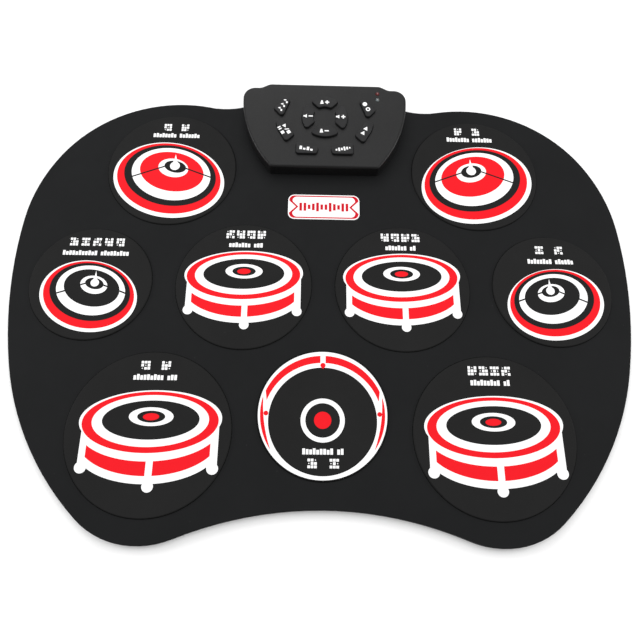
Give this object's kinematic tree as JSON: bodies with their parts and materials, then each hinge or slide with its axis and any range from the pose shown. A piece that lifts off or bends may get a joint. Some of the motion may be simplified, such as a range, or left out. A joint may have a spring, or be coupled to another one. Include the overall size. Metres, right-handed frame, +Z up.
{
  "type": "electronic drum pad",
  "caption": "Roll-up electronic drum pad: silicone mat with sprung round strike pads, and a wedge-shaped control box with keys, lamps and rear sockets.",
  "frame": {"origin": "within about a millimetre of the middle of the footprint's box, on the surface that the mat lies on", "axes": "+X to the player's right, +Y away from the player towards the control box, +Z up"},
  "size_m": [0.4512, 0.348, 0.0218],
  "materials": {
    "mat_silicone": "matte moulded silicone, fine grain",
    "pad_silicone": "matte moulded silicone with printed rings",
    "carbon_rubber": "conductive rubber",
    "sensor_film": "clear film with printed silver tracks",
    "badge_white": "satin white plate",
    "case_plastic": "fine spark texture",
    "key_rubber": "soft-touch rubber",
    "circuit_board": "solder mask",
    "chip_black": "moulded epoxy",
    "socket_black": "moulded",
    "contact_metal": "nickel plated",
    "battery_jacket": "printed jacket",
    "screw_steel": "zinc plated",
    "led_red": "tinted clear resin",
    "led_clear": "clear resin",
    "print_white": "screen-printed ink",
    "print_red": "screen-printed ink",
    "print_black": "screen-printed ink"
  },
  "bodies": {
    "drum_mat": {"mat_base": "mat_silicone", "sensor_film": "sensor_film", "mat_top": "mat_silicone", "badge_plate": "badge_white", "key_membrane": "key_rubber", "top_shell": "case_plastic", "bottom_shell": "case_plastic", "aaa_batteries": "battery_jacket", "battery_contacts": "contact_metal", "main_board": "circuit_board", "board_chips": "chip_black", "film_connector": "socket_black", "case_screws": "screw_steel", "board_screws": "screw_steel", "power_led": "led_red", "beat_led": "led_clear", "headphone_jack": "socket_black", "line_in_jack": "socket_black", "hi_hat_pedal_jack": "socket_black", "bass_pedal_jack": "socket_black", "usb_socket": "contact_metal", "power_switch_body": "contact_metal"},
    "crash_cymbal_left": {"crash_cymbal_pad_left": "pad_silicone", "crash_cymbal_left_contact": "carbon_rubber"},
    "crash_cymbal_right": {"crash_cymbal_pad_right": "pad_silicone", "crash_cymbal_right_contact": "carbon_rubber"},
    "hi_hat": {"hi_hat_pad": "pad_silicone", "hi_hat_contact": "carbon_rubber"},
    "ride_cymbal": {"ride_cymbal_pad": "pad_silicone", "ride_cymbal_contact": "carbon_rubber"},
    "high_tom": {"high_tom_pad": "pad_silicone", "high_tom_contact": "carbon_rubber"},
    "low_tom": {"low_tom_pad": "pad_silicone", "low_tom_contact": "carbon_rubber"},
    "snare_drum": {"snare_drum_pad": "pad_silicone", "snare_drum_contact": "carbon_rubber"},
    "floor_tom": {"floor_tom_pad": "pad_silicone", "floor_tom_contact": "carbon_rubber"},
    "bass_drum": {"bass_drum_pad": "pad_silicone", "bass_drum_contact": "carbon_rubber"},
    "tempo_up_key_cap": {"tempo_up_key": "key_rubber"},
    "volume_down_key_cap": {"volume_down_key": "key_rubber"},
    "tempo_down_key_cap": {"tempo_down_key": "key_rubber"},
    "volume_up_key_cap": {"volume_up_key": "key_rubber"},
    "demo_key_cap": {"demo_key": "key_rubber"},
    "start_stop_key_cap": {"start_stop_key": "key_rubber"},
    "rhythm_key_cap": {"rhythm_key": "key_rubber"},
    "record_key_cap": {"record_key": "key_rubber"},
    "play_key_cap": {"play_key": "key_rubber"},
    "style_key_cap": {"style_key": "key_rubber"},
    "battery_hatch": {"battery_door": "case_plastic"},
    "power_lever": {"power_switch_slider": "socket_black"}
  },
  "joints": [
    {"name": "crash_cymbal_left_press", "type": "slide", "parent": "drum_mat", "child": "crash_cymbal_left", "axis": [0, 0, -1], "range_m": [0, 0.0007], "stiffness_N_per_m": 6000, "springref_m": -0.0002},
    {"name": "crash_cymbal_right_press", "type": "slide", "parent": "drum_mat", "child": "crash_cymbal_right", "axis": [0, 0, -1], "range_m": [0, 0.0007], "stiffness_N_per_m": 6000, "springref_m": -0.0002},
    {"name": "hi_hat_press", "type": "slide", "parent": "drum_mat", "child": "hi_hat", "axis": [0, 0, -1], "range_m": [0, 0.0007], "stiffness_N_per_m": 6000, "springref_m": -0.0002},
    {"name": "ride_cymbal_press", "type": "slide", "parent": "drum_mat", "child": "ride_cymbal", "axis": [0, 0, -1], "range_m": [0, 0.0007], "stiffness_N_per_m": 6000, "springref_m": -0.0002},
    {"name": "high_tom_press", "type": "slide", "parent": "drum_mat", "child": "high_tom", "axis": [0, 0, -1], "range_m": [0, 0.0007], "stiffness_N_per_m": 6000, "springref_m": -0.0002},
    {"name": "low_tom_press", "type": "slide", "parent": "drum_mat", "child": "low_tom", "axis": [0, 0, -1], "range_m": [0, 0.0007], "stiffness_N_per_m": 6000, "springref_m": -0.0002},
    {"name": "snare_drum_press", "type": "slide", "parent": "drum_mat", "child": "snare_drum", "axis": [0, 0, -1], "range_m": [0, 0.0007], "stiffness_N_per_m": 6000, "springref_m": -0.0002},
    {"name": "floor_tom_press", "type": "slide", "parent": "drum_mat", "child": "floor_tom", "axis": [0, 0, -1], "range_m": [0, 0.0007], "stiffness_N_per_m": 6000, "springref_m": -0.0002},
    {"name": "bass_drum_press", "type": "slide", "parent": "drum_mat", "child": "bass_drum", "axis": [0, 0, -1], "range_m": [0, 0.0007], "stiffness_N_per_m": 6000, "springref_m": -0.0002},
    {"name": "tempo_up_key_press", "type": "slide", "parent": "drum_mat", "child": "tempo_up_key_cap", "axis": [0, 0.0628, -0.998], "range_m": [0, 0.0008], "stiffness_N_per_m": 1500, "springref_m": -0.0003},
    {"name": "volume_down_key_press", "type": "slide", "parent": "drum_mat", "child": "volume_down_key_cap", "axis": [0, 0.0628, -0.998], "range_m": [0, 0.0008], "stiffness_N_per_m": 1500, "springref_m": -0.0003},
    {"name": "tempo_down_key_press", "type": "slide", "parent": "drum_mat", "child": "tempo_down_key_cap", "axis": [0, 0.0628, -0.998], "range_m": [0, 0.0008], "stiffness_N_per_m": 1500, "springref_m": -0.0003},
    {"name": "volume_up_key_press", "type": "slide", "parent": "drum_mat", "child": "volume_up_key_cap", "axis": [0, 0.0628, -0.998], "range_m": [0, 0.0008], "stiffness_N_per_m": 1500, "springref_m": -0.0003},
    {"name": "demo_key_press", "type": "slide", "parent": "drum_mat", "child": "demo_key_cap", "axis": [0, 0.0628, -0.998], "range_m": [0, 0.0008], "stiffness_N_per_m": 1500, "springref_m": -0.0003},
    {"name": "start_stop_key_press", "type": "slide", "parent": "drum_mat", "child": "start_stop_key_cap", "axis": [0, 0.0628, -0.998], "range_m": [0, 0.0008], "stiffness_N_per_m": 1500, "springref_m": -0.0003},
    {"name": "rhythm_key_press", "type": "slide", "parent": "drum_mat", "child": "rhythm_key_cap", "axis": [0, 0.0628, -0.998], "range_m": [0, 0.0008], "stiffness_N_per_m": 1500, "springref_m": -0.0003},
    {"name": "record_key_press", "type": "slide", "parent": "drum_mat", "child": "record_key_cap", "axis": [0, 0.0628, -0.998], "range_m": [0, 0.0008], "stiffness_N_per_m": 1500, "springref_m": -0.0003},
    {"name": "play_key_press", "type": "slide", "parent": "drum_mat", "child": "play_key_cap", "axis": [0, 0.0628, -0.998], "range_m": [0, 0.0008], "stiffness_N_per_m": 1500, "springref_m": -0.0003},
    {"name": "style_key_press", "type": "slide", "parent": "drum_mat", "child": "style_key_cap", "axis": [0, 0.0628, -0.998], "range_m": [0, 0.0008], "stiffness_N_per_m": 1500, "springref_m": -0.0003},
    {"name": "battery_door_slide", "type": "slide", "parent": "drum_mat", "child": "battery_hatch", "axis": [0, 1, 0], "range_m": [0, 0.034]},
    {"name": "power_switch_slide", "type": "slide", "parent": "drum_mat", "child": "power_lever", "axis": [1, 0, 0], "range_m": [0, 0.003]}
  ]
}
